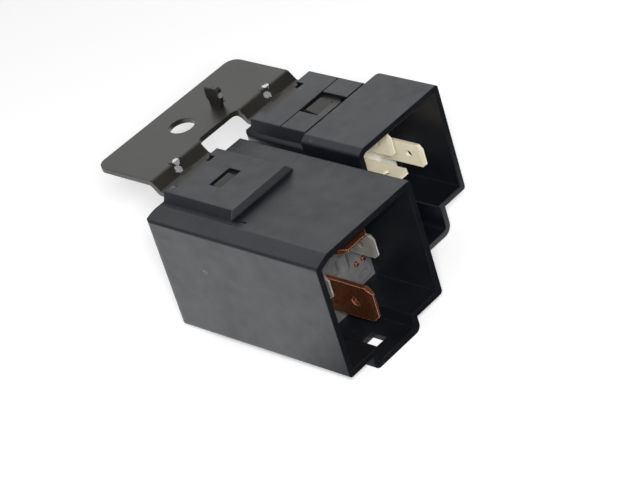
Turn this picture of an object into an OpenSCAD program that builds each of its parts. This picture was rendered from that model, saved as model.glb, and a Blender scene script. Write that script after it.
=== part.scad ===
// Twin automotive relay: a large and a small skirted relay side by side on one steel bracket.
// Millimetres, +Z up (bracket side), +X toward the open terminal skirts, +Y across.

/* [Front relay cover] */
// Length of the front cover, closed end to open mouth
front_length = 54.1; // [48:0.1:62]
// Width of the front cover
front_width = 34; // [30:0.1:40]
// Height of the front cover without pad and key channel
front_height = 32.1; // [30:0.1:38]
// Depth of the open skirt in front of the front base
front_skirt = 18.1; // [15:0.1:20]
// Wall thickness of the front cover
front_wall = 1.6; // [1.2:0.1:2]
// Width of the key channel under the front cover
front_key_width = 16.4; // [12:0.1:20]
// Depth of the key channel under the front cover
front_key_drop = 3.8; // [3:0.1:5]

/* [Rear relay cover] */
// Length of the rear cover body behind its skirt
rear_body = 20.3; // [19.5:0.1:26]
// Depth of the rear skirt from its shoulder to the open mouth
rear_skirt = 18.3; // [15:0.1:22]
// Outside width of the rear skirt
rear_width = 29.9; // [29:0.1:34]
// Outside height of the rear skirt
rear_height = 30; // [29.5:0.1:34]
// Wall thickness of the rear cover
rear_wall = 1.5; // [1.2:0.1:1.8]
// Depth of the key channel under the rear skirt
rear_key_drop = 7.2; // [5:0.1:9]
// Free space between the two relays
relay_gap = 1.7; // [1:0.1:4]

/* [Bracket] */
// Sheet thickness of the bracket
sheet = 1.3; // [1:0.1:1.4]
// Length of the flat plate in front of the upper bend
plate_length = 19.2; // [15:0.1:30]
// Width of the plate across both arms
plate_width = 49.7; // [48:0.1:56]
// Width of the arm to the front cover
front_arm = 17.1; // [14:0.1:19]
// Width of the arm to the rear cover
rear_arm = 18.3; // [14:0.1:20]
// Drop of the arms below the plate
joggle_drop = 2.4; // [1.5:0.1:4]
// Diameter of the mounting hole
hole_d = 6.5; // [5:0.1:8.5]
// Width of the tongue that slides into each cover
tongue_width = 11; // [8:0.1:13]
// Length of the front tongue inside its pocket
tongue_length = 19; // [15.5:0.1:20.5]

/* [Blades and fits] */
// Width of the heavy load blades
load_blade = 9.5; // [9:0.1:10]
// Thickness of the heavy load blades
load_sheet = 1.2; // [1:0.05:1.3]
// Width of the standard blades
coil_blade = 6.3; // [5.8:0.1:6.6]
// Thickness of the standard blades
coil_sheet = 0.8; // [0.6:0.05:0.9]
// Free length of the heavy blades
load_length = 14.2; // [12:0.1:16]
// Free length of the standard blades in the front relay
coil_length = 10.6; // [9:0.1:13]
// Clearance of the tongue in its pocket, each side
pocket_fit = 0.1; // [0.05:0.01:0.3]
// Clearance of a blade in its base slot, each side
slot_fit = 0.04; // [0.02:0.01:0.15]
// Clearance of the base in the cover, each side
base_fit = 0.05; // [0.02:0.01:0.2]

/* [Switching parts] */
// Opening angle of the front armature
front_open = 3.6; // [2:0.1:5]
// Opening angle of the rear armature
rear_open = 3; // [2:0.1:3.2]
// Gap left between closed armature and pole face
pole_gap = 0.3; // [0.15:0.01:0.5]
// Running gap between armature and yoke at the hinge edge
hinge_fit = 0.1; // [0.05:0.01:0.2]
// Diameter of the coil cores
core_d = 7; // [5:0.1:8]
// Diameter of the contact buttons
button_d = 4; // [3:0.1:5]

/* [Hidden] */
tiny = 0.01;
round_fn = 24;

// Base and pad levels
base_thick = 3;
base_x = front_length - front_skirt;
top = front_height;
pad_rise = 2.4;
pad_top = top + pad_rise;
arm_top = top + pocket_fit + sheet;
roof_low = arm_top + pocket_fit;
plate_top = arm_top + joggle_drop;

// Lean of the closed end of the front cover
f_lean = 0.6;

// Front pad that carries the pocket
f_pad_y0 = 6.9;
f_pad_y1 = 25.6;
f_pad_x0 = 1.2;
f_pad_x1 = 23.5;
f_key_y0 = 8;
f_key_y1 = f_key_y0 + front_key_width;
f_tongue_y0 = 10.7;
f_tongue_y1 = f_tongue_y0 + tongue_width;
f_tongue_x1 = 0.8 + tongue_length;

// Rear cover stations
r_x0 = -1.1;
r_x1 = r_x0 + rear_body;
r_x2 = r_x1 + rear_skirt;
r_y0 = front_width + relay_gap;
r_y1 = r_y0 + rear_width;
r_z1 = pad_top;
r_z0 = r_z1 - rear_height;
r_body_z0 = r_z0 + 0.5;
r_side = 0.4;
r_chamfer = 3;
r_mid = r_y0 + rear_width / 2;
r_pad_y0 = r_y0 + 2.6;
r_pad_y1 = r_y0 + 24.6;
r_key_y0 = r_y0 + 5.3;
r_key_y1 = r_y0 + 21.8;
r_groove = 0.5;
r_tongue_y0 = r_y0 + 7.5;
r_tongue_y1 = r_tongue_y0 + tongue_width;
r_base_x = r_x1 - 0.2;
r_cav_z0 = r_body_z0 + rear_wall;
r_cav_z1 = top - rear_wall;
r_cav_y0 = r_y0 + r_side + rear_wall;
r_cav_y1 = r_y1 - r_side - rear_wall;

// Bracket stations
bend_x = -3.2;
plate_x0 = bend_x - plate_length;
plate_y0 = 7.5;
plate_y1 = plate_y0 + plate_width;
cut_x = -4.3;
arm_x1 = 0.8;
hole_x = plate_x0 + 9.4;
hole_y = plate_y0 + 21.1;

// Terminal positions, front relay
f_mid = front_width / 2;
f_87_z = 25.2;
f_30_z = 7.4;
f_coil_z = 17.2;
f_coil_y = 8.2;

// Terminal positions, rear relay, measured down from r_ref
r_ref = r_cav_z1 + 2.6;
r_30_w = 7.4;
r_coil_w = 15.8;
r_87a_w = 16.7;
r_87_w = 24.7;
r_coil_y = 8.2;
r_length = 14.3;
r_coil_length = 15;

// Stations of a magnet system, counted from the base toward the closed end
function stations(foot, flange, coil, pole, arm, leaf) = [
    0,
    -foot,
    -foot - flange,
    -foot - flange - coil,
    -foot - 2 * flange - coil,
    -foot - 2 * flange - coil - pole,
    -foot - 2 * flange - coil - pole - pole_gap,
    -foot - 2 * flange - coil - pole - pole_gap - arm,
    -foot - 2 * flange - coil - pole - pole_gap - arm - leaf
];
f_s = stations(2, 1.5, 17.6, 1.5, 1.8, 0.3);
r_s = stations(1.5, 1, 6, 1.1, 1.4, 0.25);
f_leg = 3.2;
f_leg_t = 2;
r_leg = 4.4;
r_leg_t = 1.5;
f_axis = 14.8;
r_axis = 12.6;
f_flange = [7.4, 9];
r_flange = [7, 6.2];
f_wind_r = 8.3;
r_wind_r = 5.9;
f_touch = 22.4;
r_touch = 22;
f_link = 1.2;
f_m_x = base_x - base_thick - f_link;
r_m_x = r_base_x - base_thick;
f_foot_t = load_sheet;
r_foot_t = coil_sheet;
touch_gap = 0.1;

// Overall box, used to stand the part on its own origin
all_x0 = plate_x0;
all_x1 = front_length;
all_y0 = 0;
all_y1 = r_y1;
all_z0 = -front_key_drop;

// ---------- helpers ----------
module stand() {
    translate([-(all_x0 + all_x1) / 2, -(all_y0 + all_y1) / 2, -all_z0]) children();
}

module along_x(x0, x1) {
    translate([x0, 0, 0]) rotate([90, 0, 90]) linear_extrude(x1 - x0) children();
}

module along_y(y0, y1) {
    translate([0, y1, 0]) rotate([90, 0, 0]) linear_extrude(y1 - y0) children();
}

module along_z(z0, z1) {
    translate([0, 0, z0]) linear_extrude(z1 - z0) children();
}

module block(x0, x1, y0, y1, z0, z1) {
    translate([x0, y0, z0]) cube([x1 - x0, y1 - y0, z1 - z0]);
}

module rod_x(x0, x1, y, z, d) {
    translate([x0, y, z]) rotate([0, 90, 0]) cylinder(h = x1 - x0, d = d, $fn = 48);
}

module soft(a0, a1, b0, b1, r) {
    translate([a0 + r, b0 + r]) offset(r = r, $fn = round_fn) square([a1 - a0 - 2 * r, b1 - b0 - 2 * r]);
}

module eased(r) {
    offset(r = r, $fn = round_fn) offset(delta = -r) children();
}

// Round wire or rope along a list of points
function unit(v) = v / norm(v);
function heading(p, i) = unit(p[min(i + 1, len(p) - 1)] - p[max(i - 1, 0)]);
function ring_at(p, i, r, n, up) =
    let (t = heading(p, i), a = unit(cross(t, up)), b = cross(t, a))
    [for (k = [0:n - 1]) p[i] + r * (cos(360 * k / n) * a + sin(360 * k / n) * b)];
function flat_list(l) = [for (a = l) for (b = a) b];
module rope(p, r, n, up) {
    m = len(p);
    skin = flat_list([for (i = [0:m - 1]) ring_at(p, i, r, n, up)]);
    sides = [for (i = [0:m - 2]) for (k = [0:n - 1])
        [i * n + k, i * n + (k + 1) % n, (i + 1) * n + (k + 1) % n, (i + 1) * n + k]];
    ends = [[for (k = [n - 1:-1:0]) k], [for (k = [0:n - 1]) (m - 1) * n + k]];
    polyhedron(points = skin, faces = concat(sides, ends), convexity = 8);
}

// Smooth curve through given points
function curve_at(p, i, t) =
    let (a = p[max(i - 1, 0)], b = p[i], c = p[i + 1], d = p[min(i + 2, len(p) - 1)])
    0.5 * (2 * b + (c - a) * t + (2 * a - 5 * b + 4 * c - d) * t * t + (3 * b - a - 3 * c + d) * t * t * t);
function curve(p, n) = concat(
    [for (i = [0:len(p) - 2]) for (k = [0:n - 1]) curve_at(p, i, k / n)],
    [p[len(p) - 1]]);
function coil_path(x0, x1, y, z, r, turns, n) =
    [for (i = [0:turns * n]) [x0 + (x1 - x0) * i / (turns * n), y + r * cos(360 * i / n), z + r * sin(360 * i / n)]];

// ---------- front cover ----------
module front_outline() {
    eased(0.9) polygon([[0, 0], [front_width, 0], [front_width, top], [4.3, top], [0, top - 1.5]]);
    soft(f_key_y0, f_key_y1, -front_key_drop, 4, 1.7);
}

module front_shell() {
    intersection() {
        along_x(-f_lean, front_length)
            eased(0.9) polygon([[0, 0], [front_width, 0], [front_width, top], [4.3, top], [0, top - 1.5]]);
        along_z(-1, top + 1) soft(-f_lean, front_length + 9, 0, front_width, 1.8);
        along_y(-1, front_width + 1)
            eased(1.2) polygon([[-f_lean - 0.2, -9], [front_length + 9, -9], [front_length + 9, top], [0, top]]);
        along_y(-1, front_width + 1) soft(-f_lean, front_length + 9, 0, top + 9, 3);
    }
    intersection() {
        along_x(1, front_length) soft(f_key_y0, f_key_y1, -front_key_drop, 4, 1.7);
        along_y(0, front_width) polygon([[1, 3], [1, 0], [2.5, -front_key_drop - 1], [99, -front_key_drop - 1], [99, 3]]);
    }
}

module front_pad() {
    along_x(f_pad_x0, f_pad_x1)
        eased(0.35) polygon([[f_pad_y0 - 1.5, top - 0.8], [f_pad_y0, pad_top], [f_pad_y1, pad_top], [f_pad_y1 + 2.8, top - 0.8]]);
}

module front_pocket() {
    block(-2, f_tongue_x1 + 1.2, f_tongue_y0 - pocket_fit, f_tongue_y1 + pocket_fit, top, roof_low);
    block(-2, 3.2, f_tongue_y0 - 1.1, f_tongue_y1 + 1.1, top, pad_top + 1);
    block(-2, f_pad_x0 + tiny, f_pad_y0 - 2, f_pad_y1 + 2, top, pad_top + 1);
    block(10.4, 14.2, 13, 20.2, top + 0.5, pad_top + 1);
    block(f_pad_x1 - tiny, f_pad_x1 + 3.9, f_pad_y0 - 0.5, f_pad_y0, top - 0.4, top + 0.2);
}

module front_cover() {
    color([0.3, 0.3, 0.31]) stand() {
        difference() {
            union() {
                difference() {
                    front_shell();
                    along_x(front_wall, front_length + 1) offset(delta = -front_wall) front_outline();
                }
                front_pad();
                // ribs that stop the open armature
                for (y = [f_mid - 5.4, f_mid + 4.4])
                    block(front_wall - tiny, f_stop_x, y, y + 1, f_stop_z - 1.8, f_stop_z);
            }
            front_pocket();
            // latch window in the floor of the key channel
            block(front_length - 9, front_length - 4.3, f_key_y0 + 5.8, f_key_y1 - 6.9, -front_key_drop - 1, 0.5);
        }
    }
}
// The stop ribs end just behind the open armature, level with the lower edge of the ribs
f_stop_z = f_touch - 2.8;
f_stop_x = f_m_x + f_s[6] - (f_s[6] - f_s[7]) * cos(front_open) - (f_stop_z - f_leg) * sin(front_open) - 0.05;

// ---------- rear cover ----------
module rear_skirt_outline() {
    eased(0.8) polygon([[r_y0, r_z0], [r_y1, r_z0], [r_y1, r_z1], [r_y0 + 2, r_z1], [r_y0, r_z1 - 1]]);
}

module rear_body_outline() {
    polygon([
        [r_y0 + r_side, r_body_z0], [r_y1 - r_side, r_body_z0], [r_y1 - r_side, top - r_chamfer],
        [r_y1 - r_side - r_chamfer, top], [r_y0 + r_side + 1.8, top], [r_y0 + r_side, top - 1.2]
    ]);
}

module rear_key_outline() {
    soft(r_key_y0, r_key_y1, r_z0 - rear_key_drop, r_z0 + 3, 2.6);
}

module rear_outer() {
    // body behind the skirt
    intersection() {
        along_x(r_x0, r_x1 + 0.5)
            eased(1) rear_body_outline();
        along_z(0, top + 1) soft(r_x0, r_x1 + 9, r_y0 + r_side, r_y1 - r_side, 2.2);
        along_y(0, r_y1 + 1) soft(r_x0, r_x1 + 9, r_body_z0, top, 1.2);
    }
    // skirt
    intersection() {
        along_x(r_x1, r_x2) rear_skirt_outline();
        along_z(-1, r_z1 + 1) soft(r_x1, r_x2 + 9, r_y0 - 3, r_y1, 1.8);
    }
    along_x(r_x1 + 0.6, r_x2) rear_key_outline();
    // pad with the bracket pocket
    along_x(r_x0 + 1.1, r_x1 - r_groove)
        eased(0.35) polygon([[r_pad_y0 - 1.3, top - 0.8], [r_pad_y0, pad_top], [r_pad_y1, pad_top], [r_pad_y1 + 1.6, top - 0.8]]);
}

module rear_cavity() {
    along_x(r_x0 + rear_wall, r_x1 + 0.1) offset(delta = -rear_wall) rear_body_outline();
    difference() {
        union() {
            along_x(r_x1, r_x2 + 1) offset(delta = -rear_wall) rear_skirt_outline();
            along_x(r_x1 + 0.6 + rear_wall, r_x2 + 1) offset(delta = -rear_wall) rear_key_outline();
        }
        // inner shoulder that closes the skirt around the narrower body
        difference() {
            block(r_x1 - 1, r_x1 + 1.2, r_y0, r_y1, r_z0, r_z1);
            along_x(r_x1 - 2, r_x1 + 2) offset(delta = -rear_wall) rear_body_outline();
        }
    }
}

module rear_pocket() {
    block(-3, r_x1 - 1, r_tongue_y0 - pocket_fit, r_tongue_y1 + pocket_fit, top, roof_low);
    block(-3, 3.4, r_tongue_y0 - 1.1, r_tongue_y1 + 1.1, top, pad_top + 1);
    block(-3, 0.9, r_pad_y0 - 2, r_pad_y1 + 2.4, top, pad_top + 1);
    block(10.6, r_x1 - tiny, r_tongue_y0 + 1.9, r_tongue_y1 - 0.3, top + 0.5, pad_top + 1);
    // parting groove across the pad
    block(10.6, 10.9, r_pad_y0 - 3, r_pad_y1 + 3, pad_top - 0.35, pad_top + 1);
}

module rear_cover() {
    color([0.29, 0.29, 0.3]) stand() {
        difference() {
            rear_outer();
            rear_cavity();
            rear_pocket();
            block(r_x2 - 9, r_x2 - 4.3, r_key_y0 + 6.4, r_key_y1 - 6.4,
                r_z0 - rear_key_drop - 1, r_z0 - rear_key_drop + 3);
        }
    }
}

// ---------- bracket ----------
module bracket_plan() {
    difference() {
        union() {
            hull() {
                translate([plate_x0 + 3, plate_y0 + 3]) circle(r = 3, $fn = round_fn);
                translate([plate_x0 + 3, plate_y1 - 3]) circle(r = 3, $fn = round_fn);
                translate([cut_x - 1, plate_y0]) square([3.4, plate_width]);
            }
            translate([cut_x - 2, plate_y0]) square([arm_x1 - cut_x + 2, front_arm]);
            translate([cut_x - 2, plate_y1 - rear_arm]) square([arm_x1 - cut_x + 2, rear_arm]);
            translate([0, f_tongue_y0]) square([f_tongue_x1 - 1.2, tongue_width]);
            polygon([
                [f_tongue_x1 - 1.3, f_tongue_y0], [f_tongue_x1, f_tongue_y0 + 1.4],
                [f_tongue_x1, f_tongue_y1 - 1.4], [f_tongue_x1 - 1.3, f_tongue_y1]
            ]);
            translate([0, r_tongue_y0]) square([r_tongue_x1 - 1.2, tongue_width]);
            polygon([
                [r_tongue_x1 - 1.3, r_tongue_y0], [r_tongue_x1, r_tongue_y0 + 1.4],
                [r_tongue_x1, r_tongue_y1 - 1.4], [r_tongue_x1 - 1.3, r_tongue_y1]
            ]);
        }
        // bow between the arms
        soft(cut_x, 9, plate_y0 + front_arm, plate_y1 - rear_arm, 2);
    }
}
r_tongue_x1 = r_x1 - 1.8;

module bracket_side() {
    polygon([
        [plate_x0 - 1, plate_top], [bend_x - 0.4, plate_top], [bend_x + 0.1, plate_top - 0.15], [bend_x + 0.5, plate_top - 0.5],
        [bend_x + 1.9, arm_top + 0.45], [bend_x + 2.3, arm_top + 0.12], [bend_x + 2.8, arm_top],
        [30, arm_top], [30, arm_top - sheet],
        [bend_x + 2.3, arm_top - sheet], [bend_x + 1.6, arm_top - sheet + 0.15], [bend_x + 1.1, arm_top - sheet + 0.5],
        [bend_x - 0.2, plate_top - sheet - 0.45], [bend_x - 0.55, plate_top - sheet - 0.12], [bend_x - 1, plate_top - sheet],
        [plate_x0 - 1, plate_top - sheet]
    ]);
}

module dart(y) {
    along_y(y - 1.5, y + 1.5) polygon([
        [bend_x - 1.4, plate_top - 0.3], [bend_x - 1.4, plate_top + 0.02], [bend_x - 0.9, plate_top + 0.22],
        [bend_x, plate_top + 0.18], [bend_x + 2.1, arm_top + 0.42], [bend_x + 2.9, arm_top + 0.02],
        [bend_x + 2.9, arm_top - 0.3], [bend_x + 1.6, arm_top - 0.3], [bend_x, plate_top - 0.8]
    ]);
}

module spring_tang(x0, x1, y0, y1) {
    along_y(y0, y1) polygon([
        [x0, arm_top + 0.75], [x0, arm_top - 0.15], [x0 + 0.2, arm_top - 0.25], [x1, arm_top - sheet + 0.1],
        [x1 + 0.3, arm_top - sheet + 0.1], [x1 + 0.3, arm_top], [x1, arm_top]
    ]);
}

module bracket() {
    color([0.24, 0.24, 0.22]) stand() {
        difference() {
            union() {
                difference() {
                    intersection() {
                        along_z(top - 1, plate_top + 1) bracket_plan();
                        along_y(plate_y0 - 1, plate_y1 + 1) bracket_side();
                    }
                    block(10.5, 14.2, 13.2, 19.2, top - 1, plate_top);
                    block(11, 15.4, r_tongue_y0 + 2.9, r_tongue_y0 + 9.1, top - 1, plate_top);
                    // opening the tab was lanced out of
                    block(tab_x - 1.4, tab_x + 1.2, tab_y + sheet - tiny, tab_y + sheet + 1.6, plate_top - sheet - 1, plate_top + 1);
                }
                spring_tang(11.2, 14.2, 13.5, 18.9);
                spring_tang(11.8, 15.4, r_tongue_y0 + 3.2, r_tongue_y0 + 8.8);
                dart(plate_y0 + 8.9);
                dart(plate_y1 - 8.2);
                // lanced locating tab, bent straight up
                along_y(tab_y, tab_y + sheet) polygon([
                    [tab_x - 1.4, plate_top - sheet], [tab_x - 1.4, plate_top + 2.2], [tab_x - 1.8, plate_top + 4.9],
                    [tab_x - 1.4, plate_top + 5.3], [tab_x + 0.9, plate_top + 5.3], [tab_x + 1.6, plate_top + 3.6],
                    [tab_x + 1.6, plate_top - sheet]
                ]);
            }
            translate([hole_x, hole_y, plate_top - sheet - 1]) cylinder(h = sheet + 2, d = hole_d, $fn = 64);
        }
    }
}
tab_x = -10.7;
tab_y = plate_y0 + 30.6;

// ---------- blades ----------
module blade(length, width, thick, root, hole, back) {
    difference() {
        intersection() {
            linear_extrude(thick, center = true) polygon([
                [-root, -width / 2], [length - width * 0.2, -width / 2], [length, -width / 2 + width * 0.16],
                [length, width / 2 - width * 0.16], [length - width * 0.2, width / 2], [-root, width / 2]
            ]);
            rotate([90, 0, 0]) linear_extrude(width + 2, center = true) polygon([
                [-root, -thick / 2], [length - 1.2, -thick / 2], [length, -thick * 0.22],
                [length, thick * 0.22], [length - 1.2, thick / 2], [-root, thick / 2]
            ]);
        }
        translate([length - back, 0, -2]) cylinder(h = 4, d = hole, $fn = 32);
    }
}

module upright() {
    rotate([90, 0, 0]) children();
}

// ---------- front base and terminals ----------
module front_slots(fit) {
    block(0, 99, f_mid - load_sheet / 2 - fit, f_mid + load_sheet / 2 + fit, f_30_z - load_blade / 2 - fit, f_30_z + load_blade / 2 + fit);
    block(0, 99, f_mid - load_blade / 2 - fit, f_mid + load_blade / 2 + fit, f_87_z - load_sheet / 2 - fit, f_87_z + load_sheet / 2 + fit);
    for (s = [-1, 1])
        block(0, 99, f_mid + s * f_coil_y - coil_sheet / 2 - fit, f_mid + s * f_coil_y + coil_sheet / 2 + fit,
            f_coil_z - coil_blade / 2 - fit, f_coil_z + coil_blade / 2 + fit);
    for (y = [26.6, 29])
        block(0, 99, y - 0.5 - fit, y + 0.5 + fit, 8.2 - fit, 9.2 + fit);
}

module front_base() {
    color([0.4, 0.4, 0.4]) stand() {
        difference() {
            union() {
                along_x(base_x - base_thick, base_x - 0.9) offset(delta = -front_wall - base_fit) front_outline();
                // raised plateau with cut corners
                along_x(base_x - 1, base_x) polygon([
                    [4.4, 3], [13, 3], [14.4, 4.4], [20.4, 4.4], [21.8, 3], [29.2, 3], [31, 4.8], [31, 25.6],
                    [28, 28.8], [6.2, 28.8], [3, 25.6], [3, 4.4]
                ]);
                // ramp beside the load slot
                along_z(14.6, 18) polygon([[base_x - 0.5, 11.4], [base_x + 0.9, 13], [base_x + 0.9, 17.4], [base_x - 0.5, 20.6]]);
                along_z(9.4, 13.8) polygon([[base_x - 0.5, 21.6], [base_x + 0.6, 22.4], [base_x + 0.6, 23.8], [base_x - 0.5, 25.8]]);
            }
            front_slots(slot_fit);
            // blind pockets in the face
            block(base_x - 1.3, base_x + 1, 18.9, 21.4, 9.8, 13.4);
            block(base_x - 1, base_x + 1, 26.5, 29.9, 4.2, 5.5);
            block(base_x - 1, base_x + 1, 4.6, 6.6, 21, 24.6);
            // finger clearances behind the coil blades
            for (s = [-1, 1])
                block(base_x - base_thick - 1, base_x - base_thick + 0.8, f_mid + s * f_coil_y - 1, f_mid + s * f_coil_y + 1, 13, 21.4);
        }
    }
}

module front_terminal_30() {
    color([0.78, 0.45, 0.27]) stand() {
        translate([base_x, f_mid, f_30_z]) upright() blade(load_length, load_blade, load_sheet, base_thick, 2.3, 5.9);
        // foot plate behind the base with two staked lugs
        block(f_m_x, base_x - base_thick, f_mid - 0.6, 30, 5.2, 10.4);
        block(f_m_x, base_x - base_thick + tiny, f_mid - load_sheet / 2, f_mid + load_sheet / 2, f_30_z - load_blade / 2, f_30_z + load_blade / 2);
        for (y = [26.6, 29])
            block(base_x - base_thick - tiny, base_x + 0.7, y - 0.5, y + 0.5, 8.2, 9.2);
    }
}

module front_terminal_87() {
    color([0.78, 0.45, 0.27]) stand() {
        difference() {
            union() {
                translate([base_x, f_mid, f_87_z]) blade(load_length, load_blade, load_sheet, base_thick, 2.3, 5.9);
                block(f_m_x + f_s[4] - f_foot_t, base_x - base_thick + tiny, f_mid - load_blade / 2, f_mid + load_blade / 2,
                    f_87_z - load_sheet / 2, f_87_z + load_sheet / 2);
                block(f_m_x + f_s[4] - f_foot_t, f_m_x + f_s[4], f_mid - 3.2, f_mid + 3.2, f_touch - 2.2, f_87_z);
            }
            rod_x(f_m_x + f_s[4] - 4, f_m_x + f_s[4] + 1, f_mid, f_touch, 2);
        }
    }
}

module front_coil_blade(s) {
    translate([base_x, f_mid + s * f_coil_y, f_coil_z]) upright() blade(coil_length, coil_blade, coil_sheet, base_thick, 1.8, 4.8);
    block(f_m_x - 3.2, base_x - base_thick + tiny, f_mid + s * f_coil_y - coil_sheet / 2, f_mid + s * f_coil_y + coil_sheet / 2,
        f_coil_z - coil_blade / 2, f_coil_z - coil_blade / 2 + 2.6);
}

module front_terminal_85() {
    color([0.72, 0.7, 0.66]) stand() front_coil_blade(-1);
}

module front_terminal_86() {
    color([0.72, 0.7, 0.66]) stand() front_coil_blade(1);
}

// ---------- rear base and terminals ----------
module rear_frame() {
    translate([0, r_mid, r_ref]) rotate([180, 0, 0]) children();
}

module rear_slots(fit) {
    rear_frame() {
        block(0, 99, -coil_sheet / 2 - fit, coil_sheet / 2 + fit, r_30_w - coil_blade / 2 - fit, r_30_w + coil_blade / 2 + fit);
        block(0, 99, -coil_blade / 2 - fit, coil_blade / 2 + fit, r_87a_w - coil_sheet / 2 - fit, r_87a_w + coil_sheet / 2 + fit);
        block(0, 99, -coil_blade / 2 - fit, coil_blade / 2 + fit, r_87_w - coil_sheet / 2 - fit, r_87_w + coil_sheet / 2 + fit);
        for (s = [-1, 1])
            block(0, 99, s * r_coil_y - coil_sheet / 2 - fit, s * r_coil_y + coil_sheet / 2 + fit, r_coil_w - coil_blade / 2 - fit, r_coil_w + coil_blade / 2 + fit);
    }
}

module rear_base() {
    color([0.86, 0.83, 0.73]) stand() {
        difference() {
            union() {
                along_x(r_m_x, r_base_x - 0.7) offset(delta = -rear_wall - base_fit) rear_body_outline();
                along_x(r_base_x - 0.8, r_base_x) eased(1.2) offset(delta = -rear_wall - 0.7) rear_body_outline();
                // collars round the coil blades
                rear_frame() for (s = [-1, 1])
                    block(r_base_x - 0.4, r_base_x + 0.5, s * r_coil_y - 1.2, s * r_coil_y + 1.2, r_coil_w - 4, r_coil_w + 4);
            }
            rear_slots(slot_fit);
            // fill hole
            rod_x(r_m_x - 1, r_base_x + 1, r_mid + 9.4, r_cav_z0 + 2.6, 1.4);
        }
    }
}

module rear_coil_blade(s) {
    translate([r_base_x, s * r_coil_y, r_coil_w]) upright() blade(r_coil_length, coil_blade, coil_sheet, base_thick, 1.8, 4.8);
    block(r_m_x - 1.4, r_m_x + tiny, s * r_coil_y - coil_sheet / 2, s * r_coil_y + coil_sheet / 2,
        r_coil_w - coil_blade / 2, r_coil_w - coil_blade / 2 + 2);
}

module rear_terminal_85() {
    color([0.8, 0.78, 0.7]) stand() rear_frame() rear_coil_blade(-1);
}

module rear_terminal_86() {
    color([0.8, 0.78, 0.7]) stand() rear_frame() rear_coil_blade(1);
}

module rear_terminal_30() {
    color([0.8, 0.78, 0.7]) stand() rear_frame()
        translate([r_base_x, 0, r_30_w]) upright() blade(r_length, coil_blade, coil_sheet, base_thick, 1.8, 4.9);
}

module rear_terminal_87() {
    color([0.8, 0.78, 0.7]) stand() rear_frame() {
        difference() {
            union() {
                translate([r_base_x, 0, r_87_w]) blade(r_length, coil_blade, coil_sheet, base_thick, 1.8, 4.9);
                block(r_m_x + r_s[4] - r_foot_t, r_m_x + tiny, -coil_blade / 2, coil_blade / 2, r_87_w - coil_sheet / 2, r_87_w + coil_sheet / 2);
                block(r_m_x + r_s[4] - r_foot_t, r_m_x + r_s[4], -2.6, 2.6, r_touch - 2.1, r_87_w);
            }
            rod_x(r_m_x + r_s[4] - 3, r_m_x + r_s[4] + 1, 0, r_touch, 1.8);
        }
    }
}

module rear_terminal_87a() {
    color([0.8, 0.78, 0.7]) stand() rear_frame() {
        difference() {
            union() {
                translate([r_base_x, 0, r_87a_w]) blade(r_length, coil_blade, coil_sheet, base_thick + 0.6, 1.8, 4.9);
                // strip behind the base, round the coil and over the moving contact
                block(r_m_x - 1.4, r_m_x - 0.3, -11.9, coil_blade / 2, r_87a_w - coil_sheet / 2, r_87a_w + coil_sheet / 2);
                block(nc_x, r_m_x - 0.3, -11.9, -9.2, r_87a_w - coil_sheet / 2, r_87a_w + coil_sheet / 2);
                block(nc_x, nc_x + r_foot_t, -11.9, -1.6, r_87a_w - coil_sheet / 2, r_touch + 2);
                block(nc_x, nc_x + r_foot_t, -2, 2, r_touch - 2, r_touch + 2);
            }
            rod_x(nc_x - 1, nc_x + 2, 0, r_touch, 1.8);
        }
    }
}
// Outer face of the normally closed contact carrier
nc_x = r_x0 + rear_wall + 0.05;

// ---------- magnet systems ----------
module front_place() {
    translate([f_m_x, f_mid, 0]) children();
}

module rear_place() {
    rear_frame() translate([r_m_x, 0, 0]) children();
}

module yoke_shape(s, leg, leg_t, axis, wide, foot_top, neck, lug_x) {
    difference() {
        union() {
            block(s[1], 0, -wide / 2, wide / 2, leg, foot_top);
            block(s[6] + hinge_fit, 0, -wide / 2, wide / 2, leg, leg + leg_t);
            // ears that keep the armature on its edge
            for (y = [-wide / 2, wide / 2 - 1.4])
                block(s[8] - 0.4, s[6] + hinge_fit + tiny, y, y + 1.4, leg, leg + leg_t);
            // lug for the return spring
            block(lug_x, lug_x + 1, -1.2, 1.2, leg - 1.5, leg + tiny);
        }
        rod_x(s[1] - 1, 1, 0, axis, neck);
    }
}

module core_shape(s, axis, pole_d, neck) {
    rod_x(s[5], s[4], 0, axis, pole_d);
    rod_x(s[4] - tiny, s[1], 0, axis, core_d);
    rod_x(s[1] - tiny, 0, 0, axis, neck);
}

module bobbin_shape(s, axis, half) {
    difference() {
        union() {
            along_x(s[2], s[1]) soft(-half[0], half[0], axis - half[1], axis + half[1], 1);
            along_x(s[4], s[3]) soft(-half[0], half[0], axis - half[1], axis + half[1], 1);
            rod_x(s[4], s[1], 0, axis, core_d + 2);
        }
        rod_x(s[4] - 1, s[1] + 1, 0, axis, core_d);
    }
}

module winding_shape(s, axis, r, turns, lead_y, lead_w, lead_x) {
    pitch = (s[2] - s[3]) / turns;
    difference() {
        translate([s[3], 0, axis]) rotate([0, 90, 0]) rotate_extrude($fn = 64)
            polygon(concat([[core_d / 2 + 1, 0]],
                [for (i = [0:turns - 1]) for (k = [0:2]) [r - (k == 1 ? 0 : 0.22), pitch * (i + 0.08 + 0.42 * k)]],
                [[core_d / 2 + 1, s[2] - s[3]]]));
    }
    for (m = [-1, 1])
        rope(curve([
            [s[2] - 0.6, m * (r - 1.2), lead_w], [s[2] - 0.6, m * (lead_y - 1), lead_w], [s[2] - 0.3, m * lead_y, lead_w],
            [lead_x, m * lead_y, lead_w]], 5), 0.17, 8, [0, 0, 1]);
}

module swing(s, leg, angle) {
    translate([s[6], 0, leg]) rotate([0, -angle, 0]) translate([-s[6], 0, -leg]) children();
}

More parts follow.
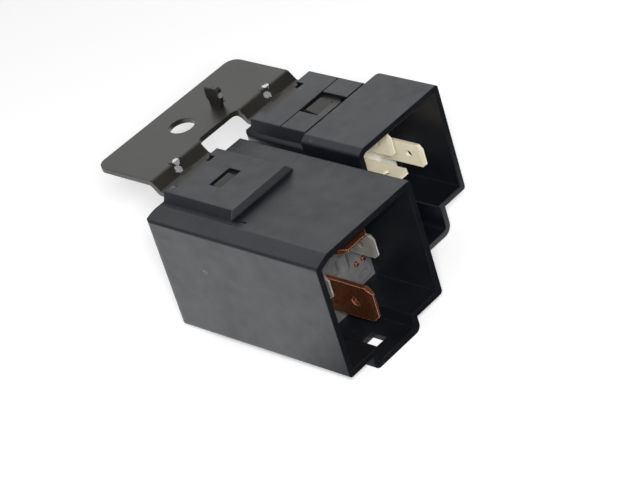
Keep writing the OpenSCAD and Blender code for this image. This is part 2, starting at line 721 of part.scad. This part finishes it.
module armature_shape(s, leg, leg_t, wide, reach, rivets_w) {
    difference() {
        union() {
            block(s[7], s[6], -wide / 2 + 0.4, wide / 2 - 0.4, leg + leg_t + 0.7, reach);
            block(s[7], s[6], -wide / 2 + 1.8, wide / 2 - 1.8, leg - 1.6, leg + leg_t + 0.8);
        }
        // hole for the spring hook
        rod_x(s[7] - 1, s[6] + 1, 0, leg - 0.75, 0.7);
    }
    // rivets pressed out of the plate through the leaf
    for (y = [-2.4, 2.4]) {
        rod_x(s[8] - tiny, s[7] + tiny, y, rivets_w, 1.4);
        rod_x(s[8] - 0.4, s[8], y, rivets_w, 2.4);
    }
}

module leaf_shape(s, w0, w1, rivets_w, touch, shank) {
    difference() {
        along_x(s[8], s[7]) soft(-3.9, 3.9, w0, w1, 1.2);
        for (y = [-2.4, 2.4])
            rod_x(s[8] - 1, s[7] + 1, y, rivets_w, 1.5);
        rod_x(s[8] - 1, s[7] + 1, 0, touch, shank);
    }
}

module button(x0, x1, x2, x3, touch, shank) {
    // upset end, shank and contact head of a rivet along X
    rod_x(x0, x1, 0, touch, button_d * 0.7);
    rod_x(x1 - tiny, x2 + tiny, 0, touch, shank);
    rod_x(x2, x3, 0, touch, button_d);
}

module flush_button(x0, x1, x2, touch, shank) {
    // contact head from x0 to x1, shank flush with the carrier at x2
    rod_x(x0, x1, 0, touch, button_d);
    rod_x(min(x2, x1 - tiny), max(x2, x0 + tiny), 0, touch, shank);
}

module return_spring(x0, x1, w, r, wire, turns) {
    rope(concat(
        [[x0 - 0.9, 0, w], [x0 - 0.45, 0, w], [x0 - 0.1, r * 0.5, w]],
        coil_path(x0, x1, 0, w, r, turns, 8),
        [[x1 + 0.1, r * 0.5, w], [x1 + 0.45, 0, w], [x1 + 0.9, 0, w]]), wire / 2, 6, unit([1, 0.35, 0.2]));
}

module front_yoke() {
    color([0.62, 0.62, 0.6]) stand() front_place()
        yoke_shape(f_s, f_leg, f_leg_t, f_axis, 14, f_axis + 6, 5, -12);
}

module front_core() {
    color([0.6, 0.6, 0.6]) stand() front_place() core_shape(f_s, f_axis, 10.4, 5);
}

module front_bobbin() {
    color([0.85, 0.84, 0.8]) stand() front_place() bobbin_shape(f_s, f_axis, f_flange);
}

module front_winding() {
    color([0.7, 0.32, 0.14]) stand() front_place()
        winding_shape(f_s, f_axis, f_wind_r, 26, f_coil_y - coil_sheet / 2 - 0.22, f_coil_z - coil_blade / 2 + 1.3, f_s[1] + 0.4);
}

module front_armature() {
    color([0.66, 0.66, 0.64]) stand() front_place() swing(f_s, f_leg, front_open)
        armature_shape(f_s, f_leg, f_leg_t, 14, f_touch - 2.4, 12.4);
}

module front_contact_leaf() {
    color([0.75, 0.48, 0.25]) stand() front_place() swing(f_s, f_leg, front_open)
        leaf_shape(f_s, 9.4, f_touch + 2.4, 12.4, f_touch, 2);
}

module front_moving_contact() {
    color([0.8, 0.8, 0.78]) stand() front_place() swing(f_s, f_leg, front_open)
        button(f_s[8] - 0.4, f_s[8], f_s[7], f_s[4] - f_foot_t - 1 - touch_gap, f_touch, 2);
}

module front_fixed_contact() {
    color([0.8, 0.8, 0.78]) stand() front_place()
        flush_button(f_s[4] - f_foot_t - 1, f_s[4] - f_foot_t, f_s[4] - 0.05, f_touch, 1.96);
}

module front_return_spring() {
    color([0.7, 0.7, 0.7]) stand() front_place()
        return_spring(f_s[6] + 0.9, -12.9, f_leg - 0.85, 0.62, 0.3, 14);
}

module front_pigtail() {
    color([0.72, 0.4, 0.22]) stand()
        rope(curve([[f_m_x - 0.75, 27.6, 7.8], [f_m_x - 3, 27.8, 7.9], [20, 28, 8.2], [12, 27.9, 9.2], [6.6, 27.2, 11.4],
            [3.7, 25, 14], [3, 22.4, 15.9], [3.35, 20, 16.7], [f_tail_x, 18.9, 17]], 6), 0.7, 12, [0, 0, 1]);
}
// Outer face of the open front leaf at the pigtail joint
f_tail_x = f_m_x + f_s[6] - (f_s[6] - f_s[8]) * cos(front_open) - (17 - f_leg) * sin(front_open) - 0.72;

module rear_yoke() {
    color([0.62, 0.62, 0.6]) stand() rear_place()
        yoke_shape(r_s, r_leg, r_leg_t, r_axis, 13, r_87a_w - 0.9, 4.4, -7);
}

module rear_core() {
    color([0.6, 0.6, 0.6]) stand() rear_place() core_shape(r_s, r_axis, 9, 4.4);
}

module rear_bobbin() {
    color([0.85, 0.84, 0.8]) stand() rear_place() bobbin_shape(r_s, r_axis, r_flange);
}

module rear_winding() {
    color([0.7, 0.32, 0.14]) stand() rear_place()
        winding_shape(r_s, r_axis, r_wind_r, 12, r_coil_y - coil_sheet / 2 - 0.22, r_coil_w - coil_blade / 2 + 1, r_s[1] + 0.4);
}

module rear_armature() {
    color([0.66, 0.66, 0.64]) stand() rear_place() swing(r_s, r_leg, rear_open)
        armature_shape(r_s, r_leg, r_leg_t, 13, r_touch - 2.5, 11);
}

module rear_contact_leaf() {
    color([0.75, 0.48, 0.25]) stand() rear_place() swing(r_s, r_leg, rear_open)
        leaf_shape(r_s, 9, r_touch + 1.9, 11, r_touch, 1.8);
}

module rear_moving_contact() {
    color([0.8, 0.8, 0.78]) stand() rear_place() swing(r_s, r_leg, rear_open)
        button(r_s[8] - 0.5, r_s[8], r_s[7], r_s[4] - r_foot_t - 0.8 - touch_gap, r_touch, 1.8);
}

module rear_contact_no() {
    color([0.8, 0.8, 0.78]) stand() rear_place()
        flush_button(r_s[4] - r_foot_t - 0.8, r_s[4] - r_foot_t, r_s[4] - 0.05, r_touch, 1.76);
}

module rear_contact_nc() {
    color([0.8, 0.8, 0.78]) stand() rear_frame()
        flush_button(nc_x + r_foot_t, nc_x + r_foot_t + 0.62, nc_x + 0.05, r_touch, 1.76);
}

module rear_return_spring() {
    color([0.7, 0.7, 0.7]) stand() rear_place()
        return_spring(r_s[6] + 0.9, -7.9, r_leg - 0.8, 0.55, 0.25, 8);
}

module rear_pigtail() {
    color([0.72, 0.4, 0.22]) stand() rear_place()
        rope(curve([[-4.2, 7.15, 5.2], [-6.5, 8.1, 5.6], [-9, 8.7, 6.6], [-12, 8.4, 8.6], [-13.7, 6.6, 11.4],
            [-14.2, 4.4, 13.4], [-14.05, 3, 14.2], [r_tail_x, 2, 14.6]], 6), 0.45, 10, [0, 0, 1]);
}
r_tail_x = r_s[6] - (r_s[6] - r_s[8]) * cos(rear_open) - (14.6 - r_leg) * sin(rear_open) - 0.47;

// ---------- assembly ----------
bracket();
front_cover();
front_base();
front_terminal_30();
front_terminal_87();
front_terminal_85();
front_terminal_86();
front_bobbin();
front_winding();
front_core();
front_yoke();
front_armature();
front_contact_leaf();
front_moving_contact();
front_fixed_contact();
front_return_spring();
front_pigtail();
rear_cover();
rear_base();
rear_terminal_30();
rear_terminal_87();
rear_terminal_87a();
rear_terminal_85();
rear_terminal_86();
rear_bobbin();
rear_winding();
rear_core();
rear_yoke();
rear_armature();
rear_contact_leaf();
rear_moving_contact();
rear_contact_no();
rear_contact_nc();
rear_return_spring();
rear_pigtail();
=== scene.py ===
import bpy
import bmesh
from mathutils import Matrix, Vector


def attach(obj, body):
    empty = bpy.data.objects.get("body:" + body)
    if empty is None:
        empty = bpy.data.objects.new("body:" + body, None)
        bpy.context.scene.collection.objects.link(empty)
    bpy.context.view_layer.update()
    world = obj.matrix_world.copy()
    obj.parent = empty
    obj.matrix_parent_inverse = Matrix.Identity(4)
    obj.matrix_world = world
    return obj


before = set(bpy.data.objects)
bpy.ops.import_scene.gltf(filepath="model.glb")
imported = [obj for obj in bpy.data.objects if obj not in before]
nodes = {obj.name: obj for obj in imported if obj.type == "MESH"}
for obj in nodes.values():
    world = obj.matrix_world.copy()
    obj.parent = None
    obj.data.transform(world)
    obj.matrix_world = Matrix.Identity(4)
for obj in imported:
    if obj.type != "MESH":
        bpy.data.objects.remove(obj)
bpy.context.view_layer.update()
scene = bpy.context.scene
scene.view_settings.view_transform = "Standard"
print("frame loaded:", len(nodes), "nodes")


# shader helpers
class Link:  # a shader socket that takes part in Python sums
    def __init__(self, tree, socket):
        self.tree = tree
        self.socket = socket

    def math(self, operation, first, second=0.0):
        return addNode(self.tree, "ShaderNodeMath", {"operation": operation}, {0: first, 1: second})

    def __add__(self, other):
        return self.math("ADD", self, other)

    __radd__ = __add__

    def __sub__(self, other):
        return self.math("SUBTRACT", self, other)

    def __rsub__(self, other):
        return self.math("SUBTRACT", other, self)

    def __mul__(self, other):
        return self.math("MULTIPLY", self, other)

    __rmul__ = __mul__


def wire(tree, node, sockets):
    for name, value in sockets.items():
        if isinstance(value, Link):
            tree.links.new(value.socket, node.inputs[name])
        else:
            node.inputs[name].default_value = value


def addNode(tree, kind, settings=None, sockets=None, output=0):
    node = tree.nodes.new(kind)
    for name, value in (settings or {}).items():
        setattr(node, name, value)
    wire(tree, node, sockets or {})
    return Link(tree, node.outputs[output])


def place(tree):
    return addNode(tree, "ShaderNodeTexCoord", output="Object")


def along(tree, axis):
    return addNode(tree, "ShaderNodeSeparateXYZ", None, {0: place(tree)}, axis)


def noise(tree, size, detail=3.0, stretch=(1, 1, 1), rough=0.5):
    where = addNode(tree, "ShaderNodeMapping", None, {"Vector": place(tree), "Scale": stretch})
    return addNode(tree, "ShaderNodeTexNoise", None,
                   {"Vector": where, "Scale": 1 / size, "Detail": detail, "Roughness": rough})


def ramp(tree, value, low, high):
    return addNode(tree, "ShaderNodeMapRange", {"clamp": True},
                   {"Value": value, "From Min": low, "From Max": high, "To Min": 0.0, "To Max": 1.0})


def larger(tree, first, second):
    return addNode(tree, "ShaderNodeMath", {"operation": "MAXIMUM"}, {0: first, 1: second})


def vectorValue(tree, operation, first, second=None):
    sockets = {0: first} if second is None else {0: first, 1: second}
    return addNode(tree, "ShaderNodeVectorMath", {"operation": operation}, sockets, "Value")


def mixColor(tree, factor, first, second):  # 6 and 7 are the node's colour inputs, 2 its colour output
    return addNode(tree, "ShaderNodeMix", {"data_type": "RGBA"}, {0: factor, 6: first, 7: second}, 2)


def rgba(color):
    return (*color, 1.0)


def grey(tree, value):
    return addNode(tree, "ShaderNodeCombineXYZ", None, {0: value, 1: value, 2: value})


def nearSpot(tree, spot, radius):  # 1 at the spot, 0 outside the radius
    full = 0.55  # part of the radius that stays at 1
    return 1 - ramp(tree, vectorValue(tree, "DISTANCE", place(tree), spot), radius * full, radius)


def nearSpots(tree, spots, radius):
    total = nearSpot(tree, spots[0], radius)
    for spot in spots[1:]:
        total = total + nearSpot(tree, spot, radius)
    return total


def rounded(tree, radius):
    return addNode(tree, "ShaderNodeBevel", {"samples": 4}, {"Radius": radius})


def edgeMask(tree, radius):  # 1 on edges, from how far a rounded normal turns
    turn = (0.02, 0.22)
    plain = addNode(tree, "ShaderNodeNewGeometry", output="Normal")
    return ramp(tree, 1 - vectorValue(tree, "DOT_PRODUCT", rounded(tree, radius), plain), *turn)


def makeSurface(name, finish, paint):
    material = bpy.data.materials.new(name)
    material.use_nodes = True
    tree = material.node_tree
    shader = tree.nodes["Principled BSDF"]
    made = paint(tree, finish)
    wire(tree, shader, finish.get("fixed", {}))
    made["Normal"] = addNode(tree, "ShaderNodeBump", None,
                             {"Height": made.pop("height"), "Strength": finish["bumpStrength"],
                              "Distance": finish["bumpDepth"], "Normal": rounded(tree, finish["round"])})
    wire(tree, shader, made)
    return material


def dress(material, names):
    for name in names:
        mesh = nodes[name].data
        mesh.materials.clear()
        mesh.materials.append(material)


# moulded covers
frontCoverFinish = {
    "color": (0.0042, 0.0048, 0.0065), "cloud": (0.0085, 0.0092, 0.0118),
    "cloudSize": 0.011, "cloudRange": (0.3, 0.72), "cloudRough": 0.24,
    "roughness": 0.43, "patchSize": 0.0035, "patchRough": 0.26,
    # worn: lighter colour of scratches, scuffs and worn edges; along the edges it is partly a painted highlight
    "worn": (0.13, 0.132, 0.14), "wear": 0.2, "wearSize": 0.0012, "wearRange": (0.42, 0.66), "edgeRadius": 0.0004,
    "scratch": 0.5, "scratchSize": 0.00055, "scratchStretch": (0.07, 1, 1.6), "scratchRange": (0.7, 0.76),
    "rubbedSize": 0.009, "rubbedRange": (0.54, 0.66), "scratchTint": 0.35, "scratchRough": 0.1, "scratchDepth": 0.5,
    "scuffs": [(0.01454, -0.0328, 0.03519), (-0.0004, -0.0328, 0.0235), (-0.0138, -0.024, 0.0383)],
    "scuffSize": 0.0011, "raggedSize": 0.0005, "raggedCut": 0.2, "scuffRange": (0.3, 0.42), "scuffTint": 0.8,
    # padEndLight: painted light, a lighter strip on the end face of the pad
    "padEndLight": {"x": 0.00765, "half": 0.0003, "core": 0.3, "foot": 0.036, "fade": 0.0004, "tint": 0.8,
               "color": (0.05, 0.052, 0.056)},
    "grainSize": 0.00016, "grainDepth": 0.7, "flowSize": 0.004, "flowStretch": (0.25, 1, 1), "flowDepth": 0.5,
    "round": 0.00028, "bumpStrength": 0.32, "bumpDepth": 0.00006,
    "fixed": {"Specular IOR Level": 0.62, "Specular Tint": (0.92, 0.95, 1.0, 1.0)},
}
rearCoverFinish = dict(
    frontCoverFinish, color=(0.0036, 0.0044, 0.0068), cloud=(0.0075, 0.0088, 0.0125), roughness=0.4,
    scuffs=[(0.0062, 0.0040, 0.0374), (-0.0121, 0.0204, 0.0383)], padEndLight=None)


def lightPadEndFace(tree, color, end):  # painted light: the end face of the pad is lightened as if it caught more light
    across = along(tree, "X")
    core = end["half"] * end["core"]
    face = ramp(tree, across, end["x"] - end["half"], end["x"] - core)
    face = face * (1 - ramp(tree, across, end["x"] + core, end["x"] + end["half"]))
    face = face * ramp(tree, along(tree, "Z"), end["foot"], end["foot"] + end["fade"])
    return mixColor(tree, face * end["tint"], color, rgba(end["color"]))


def paintCover(tree, finish):
    cloud = noise(tree, finish["cloudSize"], 4, rough=0.6)
    patch = noise(tree, finish["patchSize"], 5, rough=0.65)
    grain = noise(tree, finish["grainSize"], 2)
    flow = noise(tree, finish["flowSize"], 3, finish["flowStretch"])
    worn = ramp(tree, noise(tree, finish["wearSize"], 5, rough=0.7), *finish["wearRange"])
    # edges: real edge wear, partly a painted highlight along the edges
    edges = edgeMask(tree, finish["edgeRadius"]) * worn
    lines = ramp(tree, noise(tree, finish["scratchSize"], 2, finish["scratchStretch"]), *finish["scratchRange"])
    rubbed = ramp(tree, noise(tree, finish["rubbedSize"], 3), *finish["rubbedRange"])
    scratch = lines * rubbed * finish["scratch"]
    ragged = noise(tree, finish["raggedSize"], 4, rough=0.75) - finish["raggedCut"]
    scuff = ramp(tree, nearSpots(tree, finish["scuffs"], finish["scuffSize"]) * ragged, *finish["scuffRange"])
    color = mixColor(tree, ramp(tree, cloud, *finish["cloudRange"]), rgba(finish["color"]), rgba(finish["cloud"]))
    # painted light on the end face of the pad
    if finish["padEndLight"]:
        color = lightPadEndFace(tree, color, finish["padEndLight"])
    # scratches and scuffs, plus edges that are part wear and part painted highlight
    wearAndEdgeHighlight = edges * finish["wear"] + scratch * finish["scratchTint"] + scuff * finish["scuffTint"]
    rough = finish["roughness"] + (patch - 0.5) * finish["patchRough"] + (cloud - 0.5) * finish["cloudRough"]
    return {"Base Color": mixColor(tree, wearAndEdgeHighlight, color, rgba(finish["worn"])),
            "Roughness": rough + scratch * finish["scratchRough"],
            "height": grain * finish["grainDepth"] + flow * finish["flowDepth"] - scratch * finish["scratchDepth"]}


# painted bracket
bracketFinish = {
    "color": (0.0125, 0.0117, 0.0098), "cloud": (0.02, 0.0188, 0.0158),
    "cloudSize": 0.012, "cloudRange": (0.3, 0.7), "cloudRough": 0.18, "roughness": 0.4,
    "steel": (0.62, 0.62, 0.64), "steelMetal": 0.7, "steelRough": 0.12, "steelDepth": 1.2,
    "chips": [(-0.01905, -0.01655, 0.03985), (-0.0179, -0.0175, 0.0383),
              (-0.0197, 0.01666, 0.03985), (-0.0181, 0.01506, 0.0385)],
    "chipSize": 0.00135, "tabChip": (-0.0236, 0.006, 0.043), "tabChipPart": 0.8,
    "raggedSize": 0.0007, "raggedSpread": 2.6, "bareRange": (0.62, 0.72), "chipRange": (0.05, 0.2),
    "edgeRadius": 0.0003, "wear": 0.55, "wearSize": 0.0011, "wearRange": (0.56, 0.66),
    "peelSize": 0.0009, "peelDepth": 0.8, "grainSize": 0.0002, "grainDepth": 0.4, "grainRough": 0.12,
    "round": 0.0003, "bumpStrength": 0.4, "bumpDepth": 0.00008, "fixed": {"Specular IOR Level": 0.6},
}


def paintBracket(tree, finish):
    cloud = noise(tree, finish["cloudSize"], 4, rough=0.6)
    peel = noise(tree, finish["peelSize"], 2)
    grain = noise(tree, finish["grainSize"], 2)
    ragged = (noise(tree, finish["raggedSize"], 4, rough=0.7) - 0.5) * finish["raggedSpread"]
    chips = nearSpot(tree, finish["tabChip"], finish["chipSize"] * finish["tabChipPart"])
    chips = chips + nearSpots(tree, finish["chips"], finish["chipSize"])
    bare = ramp(tree, chips + ragged, *finish["bareRange"]) * ramp(tree, chips, *finish["chipRange"])
    worn = ramp(tree, noise(tree, finish["wearSize"], 5, rough=0.7), *finish["wearRange"])
    steel = larger(tree, bare, edgeMask(tree, finish["edgeRadius"]) * worn * finish["wear"])
    color = mixColor(tree, ramp(tree, cloud, *finish["cloudRange"]), rgba(finish["color"]), rgba(finish["cloud"]))
    rough = finish["roughness"] + (cloud - 0.5) * finish["cloudRough"] + (grain - 0.5) * finish["grainRough"]
    return {"Base Color": mixColor(tree, steel, color, rgba(finish["steel"])),
            "Roughness": rough - steel * finish["steelRough"], "Metallic": steel * finish["steelMetal"],
            "height": peel * finish["peelDepth"] + grain * finish["grainDepth"] - steel * finish["steelDepth"]}


# moulded bases and bobbins
frontBaseFinish = {
    "color": (0.115, 0.115, 0.119), "cloud": (0.16, 0.16, 0.164),
    "cloudSize": 0.004, "cloudRange": (0.3, 0.7), "cloudRough": 0.2, "roughness": 0.5,
    "grainSize": 0.0002, "edgeRadius": 0.0003, "edge": 0.2, "edgeLift": 1.35,
    "round": 0.0002, "bumpStrength": 0.3, "bumpDepth": 0.00006, "fixed": {"Specular IOR Level": 0.45},
}
rearBaseFinish = dict(frontBaseFinish, color=(0.88, 0.82, 0.7), cloud=(0.93, 0.88, 0.79), roughness=0.45)
bobbinFinish = dict(frontBaseFinish, color=(0.76, 0.73, 0.65), cloud=(0.82, 0.8, 0.74), roughness=0.4)


def paintBase(tree, finish):
    cloud = noise(tree, finish["cloudSize"], 4, rough=0.6)
    grain = noise(tree, finish["grainSize"], 2)
    edges = edgeMask(tree, finish["edgeRadius"]) * finish["edge"]
    lifted = tuple(min(1, part * finish["edgeLift"]) for part in finish["cloud"])
    color = mixColor(tree, ramp(tree, cloud, *finish["cloudRange"]), rgba(finish["color"]), rgba(finish["cloud"]))
    return {"Base Color": mixColor(tree, edges, color, rgba(lifted)),
            "Roughness": finish["roughness"] + (cloud - 0.5) * finish["cloudRough"], "height": grain}


# blades, iron, wire and contacts
copperFinish = {
    "color": (0.66, 0.23, 0.11), "roughness": 0.27, "metal": 0.93,
    "stain": (0.36, 0.1, 0.045), "stainAmount": 0.55, "stainRange": (0.38, 0.75),
    "cloudSize": 0.005, "cloudRough": 0.2,
    "speckle": 0.03, "speckleSize": 0.0005, "speckleRange": (0.58, 0.7), "speckleRough": 0.2,
    # edge, edgeGlintColor: clean sheared metal on the chamfers, lightened further as a painted glint
    "edge": 1.0, "edgeGlintColor": (1.0, 0.5, 0.34), "edgeRadius": 0.00025, "edgeClean": 0.8, "edgeDull": 0.75,
    "brushSize": 0.00018, "brushStretch": (0.12, 1, 1), "brushRough": 0.05,
    "round": 0.00018, "bumpStrength": 0.04, "bumpDepth": 0.00004,
}
frontTinFinish = dict(
    copperFinish, color=(0.68, 0.66, 0.62), stain=(0.34, 0.32, 0.28), roughness=0.36, speckle=0.4,
    metal=0.75, edge=0.5, edgeGlintColor=(0.9, 0.88, 0.84), bumpStrength=0.2)
rearTinFinish = dict(
    copperFinish, color=(0.96, 0.89, 0.69), stain=(0.8, 0.72, 0.5), roughness=0.42, stainAmount=0.4,
    metal=0.22, edge=0.5, edgeGlintColor=(0.72, 0.66, 0.5), bumpStrength=0.2)
ironFinish = dict(
    copperFinish, color=(0.6, 0.6, 0.58), stain=(0.42, 0.42, 0.4), roughness=0.34,
    metal=1.0, edge=0.2, edgeGlintColor=(0.75, 0.75, 0.73), bumpStrength=0.2)
leafFinish = dict(
    ironFinish, color=(0.78, 0.5, 0.26), stain=(0.5, 0.3, 0.15), roughness=0.28, edgeGlintColor=(0.88, 0.66, 0.42))
silverFinish = dict(
    ironFinish, color=(0.86, 0.86, 0.84), stain=(0.5, 0.49, 0.46), roughness=0.3, edgeGlintColor=(0.92, 0.92, 0.9))
springFinish = dict(
    ironFinish, color=(0.62, 0.62, 0.62), stain=(0.4, 0.4, 0.4), roughness=0.25, edgeGlintColor=(0.75, 0.75, 0.75))


def paintMetal(tree, finish):
    cloud = noise(tree, finish["cloudSize"], 4, rough=0.6)
    speck = ramp(tree, noise(tree, finish["speckleSize"], 3, rough=0.7), *finish["speckleRange"])
    speck = speck * finish["speckle"]
    brush = noise(tree, finish["brushSize"], 2, finish["brushStretch"])
    edges = edgeMask(tree, finish["edgeRadius"])
    stain = ramp(tree, cloud, *finish["stainRange"]) * finish["stainAmount"] + speck
    stain = stain * (1 - edges * finish["edgeClean"])
    color = mixColor(tree, stain, rgba(finish["color"]), rgba(finish["stain"]))
    rough = finish["roughness"] + (cloud - 0.5) * finish["cloudRough"] + (brush - 0.5) * finish["brushRough"]
    # edges: clean metal with a painted glint on the chamfers, made less metallic so the lamp lights them
    return {"Base Color": mixColor(tree, edges * finish["edge"], color, rgba(finish["edgeGlintColor"])),
            "Roughness": rough + speck * finish["speckleRough"],
            "Metallic": finish["metal"] * (1 - edges * finish["edgeDull"]), "height": brush + speck}


windingFinish = {
    "color": (0.6, 0.22, 0.08), "gap": (0.16, 0.05, 0.02), "gapRange": (0.1, 0.6), "roughness": 0.25, "metal": 0.9,
    "pitch": 0.00022, "unitWave": 0.314, "waver": 0.6, "cloudSize": 0.003, "cloudRough": 0.15,
    "round": 0.0001, "bumpStrength": 0.7, "bumpDepth": 0.00008,
    "fixed": {"Coat Roughness": 0.1, "Coat Weight": 0.4},
}
pigtailFinish = dict(
    windingFinish, color=(0.76, 0.4, 0.22), gap=(0.28, 0.12, 0.05), roughness=0.35, pitch=0.0003)


def paintWire(tree, finish):  # many fine turns or strands side by side
    # unitWave is the length of a wave at Scale 1
    turns = addNode(
        tree, "ShaderNodeTexWave", {"wave_profile": "SIN"},
        {"Vector": place(tree), "Scale": finish["unitWave"] / finish["pitch"], "Distortion": finish["waver"]},
        "Fac")
    cloud = noise(tree, finish["cloudSize"], 3)
    color = mixColor(tree, ramp(tree, turns, *finish["gapRange"]), rgba(finish["gap"]), rgba(finish["color"]))
    return {"Base Color": color, "Roughness": finish["roughness"] + (cloud - 0.5) * finish["cloudRough"],
            "Metallic": finish["metal"], "height": turns}


def bothRelays(*parts):
    return [relay + part for relay in ("front_", "rear_") for part in parts]


bracketPaint = makeSurface("bracketPaint", bracketFinish, paintBracket)
dress(makeSurface("frontCoverPlastic", frontCoverFinish, paintCover), ["front_cover"])
dress(makeSurface("rearCoverPlastic", rearCoverFinish, paintCover), ["rear_cover"])
dress(bracketPaint, ["bracket"])
dress(makeSurface("frontBasePlastic", frontBaseFinish, paintBase), ["front_base"])
dress(makeSurface("rearBasePlastic", rearBaseFinish, paintBase), ["rear_base"])
dress(makeSurface("bobbinPlastic", bobbinFinish, paintBase), bothRelays("bobbin"))
dress(makeSurface("copperBlade", copperFinish, paintMetal), ["front_terminal_30", "front_terminal_87"])
dress(makeSurface("frontTinBlade", frontTinFinish, paintMetal), ["front_terminal_85", "front_terminal_86"])
dress(makeSurface("rearTinBlade", rearTinFinish, paintMetal),
      ["rear_terminal_" + number for number in ("30", "87", "87a", "85", "86")])
dress(makeSurface("magnetIron", ironFinish, paintMetal), bothRelays("core", "yoke", "armature"))
dress(makeSurface("contactLeaf", leafFinish, paintMetal), bothRelays("contact_leaf"))
dress(makeSurface("contactSilver", silverFinish, paintMetal),
      bothRelays("moving_contact") + ["front_fixed_contact", "rear_contact_no", "rear_contact_nc"])
dress(makeSurface("springWire", springFinish, paintMetal), bothRelays("return_spring"))
dress(makeSurface("coilWire", windingFinish, paintWire), bothRelays("winding"))
dress(makeSurface("pigtailBraid", pigtailFinish, paintWire), bothRelays("pigtail"))
print("surfaces done")

# wider head of the bracket tab
tabHead = {
    "outline": [(-1.45, 0), (-1.45, 1.5), (-1.95, 2.1), (-1.9, 4.7), (-1.45, 5.28), (2.0, 5.28), (2.8, 4.9),
                (2.7, 2.2), (2.1, 0.4), (2.1, 0)],  # mm along the plate and up
    "foot": (-0.02655, 0.00525, 0.0397), "thickness": 0.0014, "round": 0.00015,
}


def makeTabHead(values):
    left, near, foot = values["foot"]
    bm = bmesh.new()
    face = bm.faces.new([bm.verts.new((left + x / 1000, near, foot + z / 1000)) for x, z in values["outline"]])
    grown = bmesh.ops.extrude_face_region(bm, geom=[face])["geom"]
    farSide = [part for part in grown if isinstance(part, bmesh.types.BMVert)]
    bmesh.ops.translate(bm, verts=farSide, vec=(0, values["thickness"], 0))
    bmesh.ops.recalc_face_normals(bm, faces=bm.faces)
    bmesh.ops.bevel(bm, geom=bm.edges[:], offset=values["round"], segments=2, profile=0.5, affect="EDGES",
                    material=-1)
    mesh = bpy.data.meshes.new("tabHead")
    bm.to_mesh(mesh)
    bm.free()
    mesh.materials.append(bracketPaint)
    made = bpy.data.objects.new("tabHead", mesh)
    scene.collection.objects.link(made)
    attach(made, "root")


makeTabHead(tabHead)
print("tab head made")

# studio
studio = {
    "dim": 0.34, "bright": 1.24, "brightFrom": (-0.72, 0.51, 0.47), "brightLobe": (0.55, 0.95),
    "flag": 0.75, "flagFrom": (0.45, 0.55, 0.7), "flagLobe": (0.5, 0.85),
}
skirtLamp = {"at": (0.44, -0.34, 0.4), "aim": (0.02, 0.0, 0.02), "size": 0.12, "power": 5.0}
floorSheet = {
    "size": 4.0, "paint": 0.8, "cameraGlow": 0.33, "mirroredGlow": 0.76,
    "fade": (0.13, 0.38), "sideFade": (0.014, 0.04),  # what a glossy face sees of the floor ends softly
}


def addLamp(name, lamp):
    data = bpy.data.lights.new(name, "AREA")
    data.shape = "SQUARE"
    data.size = lamp["size"]
    data.energy = lamp["power"]
    made = bpy.data.objects.new(name, data)
    scene.collection.objects.link(made)
    made.location = lamp["at"]
    made.visible_glossy = False  # fills the skirts without a glare on the tops
    made.rotation_euler = (Vector(lamp["at"]) - Vector(lamp["aim"])).to_track_quat("Z", "Y").to_euler()


def lightWorld(values):
    world = bpy.data.worlds.new("studioLight")
    scene.world = world
    world.use_nodes = True
    tree = world.node_tree
    direction = addNode(tree, "ShaderNodeTexCoord", output="Generated")
    bright = ramp(tree, vectorValue(tree, "DOT_PRODUCT", direction, values["brightFrom"]), *values["brightLobe"])
    flagged = ramp(tree, vectorValue(tree, "DOT_PRODUCT", direction, values["flagFrom"]), *values["flagLobe"])
    level = values["dim"] * (1 - flagged * values["flag"]) + bright * (values["bright"] - values["dim"])
    seen = addNode(tree, "ShaderNodeLightPath", output="Is Camera Ray")
    wire(tree, tree.nodes["Background"], {"Color": grey(tree, level * (1 - seen) + seen)})


def layFloor(values):
    bm = bmesh.new()
    bmesh.ops.create_grid(bm, x_segments=1, y_segments=1, size=values["size"])
    mesh = bpy.data.meshes.new("studioFloor")
    bm.to_mesh(mesh)
    bm.free()
    floor = bpy.data.objects.new("studioFloor", mesh)
    scene.collection.objects.link(floor)
    material = bpy.data.materials.new("floorWhite")
    material.use_nodes = True
    tree = material.node_tree
    camera, glossy, transmitted = (
        addNode(tree, "ShaderNodeLightPath", output="Is %s Ray" % kind)
        for kind in ("Camera", "Glossy", "Transmission"))
    mirrored = larger(tree, glossy, transmitted)
    near = 1 - ramp(tree, vectorValue(tree, "LENGTH", place(tree)), *values["fade"])
    near = near * (1 - ramp(tree, along(tree, "X"), *values["sideFade"]))
    glow = camera * values["cameraGlow"] + mirrored * near * values["mirroredGlow"]
    paint = (1 - mirrored * (1 - near)) * values["paint"]
    wire(tree, tree.nodes["Principled BSDF"], {
        "Roughness": 1.0, "Specular IOR Level": 0.0, "Base Color": grey(tree, paint),
        "Emission Color": grey(tree, glow), "Emission Strength": 1.0})
    mesh.materials.append(material)


addLamp("skirtLamp", skirtLamp)
lightWorld(studio)
layFloor(floorSheet)
print("studio done")

# camera
view = {
    "at": (0.39403, -0.32067, 0.33452), "lens": 141.37, "sensor": 36, "clip": (0.01, 20),
    "right": (0.73045, 0.63353, -0.25513), "up": (-0.20535, 0.56, 0.80264), "back": (0.65137, -0.53389, 0.53915),
}
cameraData = bpy.data.cameras.new("studioCamera")
cameraData.lens = view["lens"]
cameraData.sensor_width = view["sensor"]
cameraData.clip_start, cameraData.clip_end = view["clip"]
camera = bpy.data.objects.new("studioCamera", cameraData)
scene.collection.objects.link(camera)
turned = Matrix((view["right"], view["up"], view["back"])).transposed().to_4x4()
camera.matrix_world = Matrix.Translation(view["at"]) @ turned
scene.camera = camera
print("camera set")
